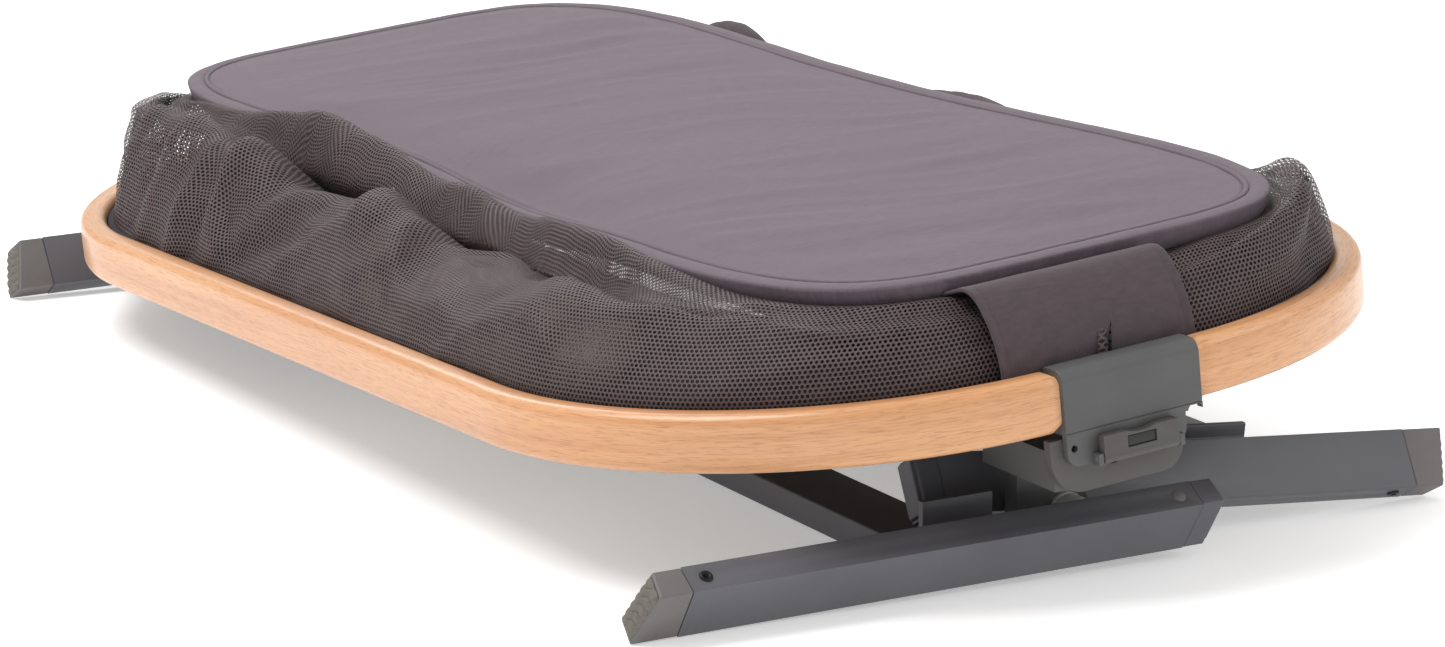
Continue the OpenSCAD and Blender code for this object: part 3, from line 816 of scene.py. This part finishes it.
# The large folds, mostly on the left: start and end as (distance, place across), then width and height
# in mm. A negative height is a hollow.
LEFT_FOLDS = [
    ((676, 0.04), (668, 0.44), 8, 8),
    ((654, 0.06), (646, 0.40), 7, -6),
    ((716, 0.08), (706, 0.50), 10, 5),
    ((742, 0.10), (724, 0.44), 8, -5),
    ((780, 0.08), (760, 0.52), 11, 7),
    ((808, 0.12), (792, 0.48), 8, -6),
    ((838, 0.06), (822, 0.46), 11, 4),
    ((880, 0.08), (868, 0.46), 10, 4),
    ((474, 0.46), (600, 0.34), 8, 7),
    ((500, 0.40), (590, 0.26), 9, -5),
    ((480, 0.42), (552, 0.18), 9, 6),
    ((520, 0.34), (600, 0.14), 10, -5),
    ((640, 0.44), (612, 0.16), 9, 6),
    ((628, 0.34), (592, 0.20), 8, -4),
    ((452, 0.42), (372, 0.30), 8, 6),
    ((440, 0.32), (340, 0.22), 10, -4),
    ((405, 0.42), (280, 0.36), 10, 6),
    ((470, 0.22), (350, 0.12), 12, 4),
    ((300, 0.46), (200, 0.52), 9, 5),
    ((262, 0.56), (180, 0.66), 8, -6),
    ((250, 0.68), (150, 0.80), 8, 5),
    ((600, 0.78), (660, 0.86), 6, 3),
    ((520, 0.80), (590, 0.90), 6, 3),
    ((430, 0.78), (500, 0.88), 6, 3),
    ((1960, 0.30), (1880, 0.56), 10, 5),
    ((1905, 0.16), (1850, 0.56), 10, -6),
    ((1870, 0.10), (1800, 0.52), 12, 6),
]


def loose_folds(s, v):
    """All the folds together: the large ones on the left and many small ones from a fixed seed."""
    total = np.zeros_like(s)
    for start, end, width, height in LEFT_FOLDS:
        total += ridge(s, v, start, end, width, height)
    pick = random.Random(FOLD_SEED)
    for k in range(FOLD_COUNT):
        at = pick.uniform(0, INNER_TOTAL)
        place = pick.uniform(0.18, 0.82)
        length = pick.uniform(50, 135)
        lean = pick.uniform(-0.22, 0.10)
        busy = 1.0 if 180 < at < 900 else (0.35 if at < 120 or at > 1960 else 0.6)
        height = pick.choice((1, 1, -1)) * pick.uniform(0.8, 2.9) * busy
        width = pick.uniform(4.0, 8.0)
        start, end = (at - length / 2, place - lean / 2), (at + length / 2, place + lean / 2)
        total += ridge(s, v, start, end, width, height)
    return total * np.sin(math.pi * np.clip(v, 0, 1)) ** 0.6


def make_wall():
    """The bunched mesh wall between the ring and the pad, with a second ply behind it that is painted near
    black as shade.
    """
    count, steps = 1100, 73
    across = [k / (steps - 1) for k in range(steps)]
    around = np.arange(count) * INNER_TOTAL / count
    points = wall_base(count, across)
    s, v = np.meshgrid(around, across, indexing="ij")
    soft = np.array([[wobble(a + 30 * b, b * 70, 0, 34, 21) for b in across] for a in around])
    busy = 0.35 + 0.65 * np.exp(-((s - 560) / 330) ** 4)
    push = loose_folds(s, v) + 1.5 * busy * soft * np.sin(math.pi * v)
    seam = np.clip(np.minimum(s, INNER_TOTAL - s) / 30, 0, 1)
    push *= seam * seam * (3 - 2 * seam)
    half = INNER_TOTAL / 2
    for middle in (5, half - 5, INNER_TOTAL + 5):
        under_band = np.exp(-((s - middle) / 60) ** 6)
        push -= 4.6 * under_band * np.clip(12 * v, 0, 1) * np.sin(math.pi * v) ** 0.2
    points = points + grid_normals(points) * push[..., None]
    widths = np.linalg.norm(np.diff(points, axis=1), axis=2)
    spans = np.c_[np.zeros(count), np.cumsum(widths, axis=1)]
    back = points - grid_normals(points) * (NET_PLY_GAP * np.sin(math.pi * v) ** 0.5)[..., None]
    for name, face, net, replaced, drift in (("mesh_wall", points, NET, ["seat_mesh"], 0.0),
                                             ("mesh_wall_back", back[::2, ::2], NET_BACK_SHADE, [], 1.15)):
        step = count // len(face)
        obj = grid_object(name, face, closed_u=True, matrix=SEAT,
                          uv=lambda p, q: ((INNER_TOTAL * p * step / count + drift) * MM,
                                           (spans[p * step % count][q * step] + drift) * MM))
        dress(obj, "seat_frame", net, replaced)


def make_shade_sheet():
    """A dark sheet behind the mesh, from the hem to the board, that paints the shade in the seat's hollow."""
    count, steps = 300, 14
    hem_height, rise = 18, 30
    edge, _ = pad_outline(count)
    rows = []
    for i in range(count):
        x, y, _, _ = rounded_loop(INNER_W - 12, INNER_L - 9, INNER_R - 5, INNER_TOTAL * i / count)
        px, py = edge[i] + (np.array([PAD_X, PAD_Y]) - edge[i]) * 0.03
        row = []
        for k in range(steps):
            t = k / (steps - 1)
            row.append((x + (px - x) * t, y + (py - y) * t, hem_height + rise * t ** 2.2))
        rows.append(row)
    obj = grid_object("shade_sheet_behind_mesh", rows, closed_u=True, matrix=SEAT,
                      uv=lambda p, q: (INNER_TOTAL * p / count * MM, q / (steps - 1)))
    dress(obj, "seat_frame", SHADE_SHEET)


def make_hem():
    """The dark channel inside the ring that the mesh is sewn into."""
    count = 400
    section = [(0.4, 6), (0.3, 19), (0.9, 21.6), (2.4, 22.6), (4.6, 22.0), (5.8, 19.5), (5.6, 14), (4.8, 6)]
    rows = []
    for i in range(count):
        s = INNER_TOTAL * i / count
        x, y, nx, ny = rounded_loop(INNER_W, INNER_L, INNER_R, s)
        shift = 0.5 * wobble(s, 0, 0, 40, 31)
        rows.append([(x - nx * p, y - ny * p, z + (shift if z > 10 else 0)) for p, z in section])
    obj = grid_object("hem_channel", rows, closed_u=True, closed_v=True, matrix=SEAT)
    dress(obj, "seat_frame", HEM_CLOTH, ["seat_hem"])


def band_rows(front, left, right):
    """A cloth strap from under the pad, over the mesh bulge and down inside the ring."""
    steps_wide, steps_long = 120, 32
    sign = -1 if front else 1
    keys = [0, 0.22, 0.5, 0.78, 1.0]
    outs = [346, 364, 374.6, 380.0, 380.7] if front else [372, 379, 381, 380, 379]
    ups = [57, 61, 50, 34, 18] if front else [66, 64, 50, 34, 18]
    rows = []
    for i in range(steps_wide + 1):
        u = i / steps_wide
        x = left + (right - left) * u
        margin = min(x - left, right - x)
        seam = 0.7 * math.exp(-(margin / 2.2) ** 4) - 0.6 * math.exp(-((margin - 4.2) / 0.9) ** 2)
        bow = 1 - (2 * u - 1) ** 2
        row = []
        for k in range(steps_long + 1):
            v = k / steps_long
            out = spline(keys, outs, v) + (1.6 * bow + seam) * math.sin(math.pi * v)
            up = spline(keys, ups, v) + 0.8 * wobble(x, v * 60, 0, 30, 41) * math.sin(math.pi * v)
            row.append((x + 6 * (v - 0.4) * (1 if front else 0), sign * out, up))
        rows.append(row)
    return rows


def make_bands():
    """The front and the rear band."""
    for front in (True, False):
        name = "front_band" if front else "rear_band"
        obj = grid_object(name + "_strap", band_rows(front, BAND_LEFT, BAND_RIGHT), matrix=SEAT)
        add_modifier(obj, "SOLIDIFY", thickness=BAND_CLOTH_THICK * MM, offset=0)
        dress(obj, "seat_frame", BAND_CLOTH, [name])


make_wood_ring()
make_brackets()
make_pad()
make_wall()
make_shade_sheet()
make_hem()
make_bands()


# ---------------------------------------------------------------- stand

def leg_matrix(side):
    """Where a leg frame lies when folded, and half the height of its twisted tube."""
    half_diag = (TUBE_A * math.cos(math.radians(TUBE_TWIST)) + TUBE_B * math.sin(math.radians(TUBE_TWIST))) / 2
    top_reach = FOOT_REACH - 2 * half_diag * math.tan(math.radians(FACE_SLOPE))
    if side == "left":
        low = TUBE_DROP + half_diag
        turn = -(math.asin(AXLE_Z / math.hypot(FOOT_REACH, low)) - math.atan(low / FOOT_REACH))
    else:
        low = half_diag - TUBE_DROP
        turn = math.pi + math.asin(AXLE_Z / math.hypot(top_reach, low)) - math.atan(low / top_reach)
    place = Matrix.Translation(Vector((AXLE_X, 0, AXLE_Z)) * MM)
    return place @ Matrix.Rotation(turn, 4, "Y") @ Matrix.Scale(MM, 4), half_diag


def make_foot_pad(side, end):
    """The ribbed rubber that closes a foot."""
    matrix, half_diag = leg_matrix(side)
    y_leg = OUTER_Y if side == "left" else INNER_Y
    sign = -1 if end == "front" else 1
    twist = math.radians(TUBE_TWIST)
    normal = Vector((-math.cos(math.radians(FACE_SLOPE)), 0, math.sin(math.radians(FACE_SLOPE))))
    margin, rib_pitch, steps = 2.1, 4.4, 48
    half_a, half_b = TUBE_A / 2 - margin, TUBE_B / 2 - margin
    rows = []
    for i in range(steps + 1):
        b = -1 + 2 * i / steps
        row = []
        for j in range(steps + 1):
            a = -1 + 2 * j / steps
            rim = max(abs(a) ** 6, abs(b) ** 6)
            wave = 0.8 * math.sin(b * half_b * 0.9)
            run = a * half_a + 0.55 * b * half_b + wave
            rib = 0.5 + 0.5 * math.cos(run * 2 * math.pi / rib_pitch)
            lift = 0.2 + 1.3 * rib * (1 - rim)
            pa, pb = a * half_a, b * half_b
            across = pb * math.cos(twist) - pa * math.sin(twist)
            up = pb * math.sin(twist) + pa * math.cos(twist)
            x = -FOOT_REACH + (up + half_diag) * math.tan(math.radians(FACE_SLOPE))
            point = Vector((x, across, up - TUBE_DROP)) + normal * (lift - rim - 0.2)
            row.append((point.x, sign * (y_leg - across), point.z))
        rows.append(row)
    name = f"{side}_{end}_foot_pad"
    obj = grid_object(name + "_ribs", rows, matrix=matrix)
    add_modifier(obj, "SOLIDIFY", thickness=1.6 * MM, offset=-1 if sign < 0 else 1)
    dress(obj, side + "_legs", RUBBER, [name])


def make_leg_screws(side):
    """A black socket screw near each foot and a flat plug near each horn."""
    matrix, _ = leg_matrix(side)
    y_leg = OUTER_Y if side == "left" else INNER_Y
    for end, sign in (("front", -1), ("rear", 1)):
        for at, kind in ((-FOOT_REACH + SCREW_FROM_FOOT, "screw"), (HORN_REACH - PLUG_FROM_HORN, "plug")):
            if kind == "screw":
                profile = [(0.01, -1.2), (1.3, -1.2), (1.35, 0.9), (2.5, 0.9), (2.9, 0.4), (3.0, -1.0)]
            else:
                profile = [(0.01, 0.25), (2.9, 0.25), (3.2, 0.05), (3.25, -1.0)]
            obj = grid_object(f"{side}_{end}_{kind}", lathe_rows(profile, 32), closed_u=True)
            tilt = Matrix.Rotation(math.radians(TUBE_TWIST) * (1 if sign < 0 else -1), 4, "X")
            place = Matrix.Translation((at, sign * y_leg, -TUBE_DROP)) @ tilt
            obj.data.transform(matrix @ place @ Matrix.Translation((0, 0, TUBE_A / 2)))
            obj.data.update()
            node = [side + "_leg_screws"] if kind == "screw" else []
            dress(obj, side + "_legs", BLACK_STEEL if kind == "screw" else CAP, node)


def make_legs():
    """Both leg frames: tubes, foot caps, end plugs, foot pads, crossbeams, bushes and screws."""
    for side in ("left", "right"):
        body = side + "_legs"
        for end in ("front", "rear"):
            softened(f"{side}_{end}_tube", 2.6, body, PAINT, 4)
            softened(f"{side}_{end}_foot_cap", 1.6, body, CAP, 4)
            softened(f"{side}_{end}_end_plug", 2.6, body, PAINT, 4)
            make_foot_pad(side, end)
        softened(side + "_crossbeam", 1.5, body, PAINT)
        softened(side + "_beam_brackets", 1.0, body, PAINT)
        softened(side + "_bushes", 0.4, body, WHITE)
        make_leg_screws(side)


def paint_node(node, material):
    """Gives a CAD node that is shown as it is its material."""
    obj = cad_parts[node]
    obj.data.materials.clear()
    obj.data.materials.append(material)


def make_side_tab(name, y_middle, y_half, top, replaced):
    """A soft loop of cloth that shows behind the pad's right edge."""
    steps_long, steps_wide = 40, 24
    foot = 50
    rows = []
    for i in range(steps_long + 1):
        u = -1 + 2 * i / steps_long
        row = []
        for k in range(steps_wide + 1):
            v = k / steps_wide
            arch = math.sin(math.pi * v) ** 0.7 * (1 - abs(u) ** 2.6) ** 0.5
            x = 148 + 28 * v + 2.0 * wobble(u * 30, v * 20, 0, 16, 61)
            z = foot + (top - foot) * arch + 1.2 * wobble(u * 40, v * 30, 5, 14, 62) * arch
            row.append((x, y_middle + u * y_half, z))
        rows.append(row)
    obj = grid_object(name, rows, matrix=SEAT)
    add_modifier(obj, "SOLIDIFY", thickness=TAB_CLOTH_THICK * MM, offset=0)
    dress(obj, "seat_frame", BAND_CLOTH, replaced)


def make_small_parts():
    """The hidden pins, washers and board, the board darkened as painted shade, and the two side tabs."""
    for node in ("axle", "swing_pins", "front_latch_pin", "rear_latch_pin", "bracket_screws"):
        paint_node(node, STEEL)
    paint_node("axle_washers", WHITE)
    paint_node("seat_board", BOARD_PAINTED_SHADE)
    make_side_tab("rear_side_tab", 213, 32, 73, ["side_straps"])
    make_side_tab("middle_side_tab", -19, 42, 62, [])


make_legs()
make_small_parts()


# ---------------------------------------------------------------- studio

def area_light(name, location, target, size, power):
    """A soft white rectangular light at location that faces target."""
    data = bpy.data.lights.new(name, "AREA")
    data.shape = "RECTANGLE"
    data.size, data.size_y = size
    data.energy = power
    light = bpy.data.objects.new(name, data)
    light.location = location
    light.rotation_euler = (Vector(target) - Vector(location)).to_track_quat("-Z", "Y").to_euler()
    bpy.context.scene.collection.objects.link(light)


def make_studio():
    """A pale floor, an even white world and three soft lights."""
    corners = [(sx * FLOOR_HALF, sy * FLOOR_HALF, 0) for sx, sy in ((-1, -1), (1, -1), (1, 1), (-1, 1))]
    floor = mesh_object("studio_floor", corners, [(0, 1, 2, 3)])
    floor.data.materials.append(floor_material())
    world = bpy.data.worlds.new("studio")
    world.use_nodes = True
    world.node_tree.nodes["Background"].inputs["Color"].default_value = (1, 1, 1, 1)
    world.node_tree.nodes["Background"].inputs["Strength"].default_value = WORLD_STRENGTH
    bpy.context.scene.world = world
    area_light("key", (-1.3, 0.2, 2.5), (0, 0, 0.05), (1.5, 1.5), 58)
    area_light("fill", (1.8, -1.6, 1.4), (0, 0, 0.05), (1.8, 1.4), 14)
    area_light("back", (0.6, 2.2, 1.8), (0, 0, 0.1), (2.0, 1.2), 24)
    bpy.context.scene.view_settings.view_transform = "Standard"


def make_camera():
    """The camera's place, direction and lens, with a small shift for the framing."""
    azimuth, height = math.radians(CAMERA_AZIMUTH), math.radians(CAMERA_HEIGHT)
    data = bpy.data.cameras.new("camera")
    data.sensor_width = CAMERA_SENSOR
    data.lens = CAMERA_LENS
    data.shift_x, data.shift_y = CAMERA_SHIFT
    data.clip_end = 100
    camera = bpy.data.objects.new("camera", data)
    camera.location = CAMERA_PLACE
    camera.rotation_euler = (math.pi / 2 - height, 0, azimuth)
    bpy.context.scene.collection.objects.link(camera)
    bpy.context.scene.camera = camera


make_studio()
make_camera()
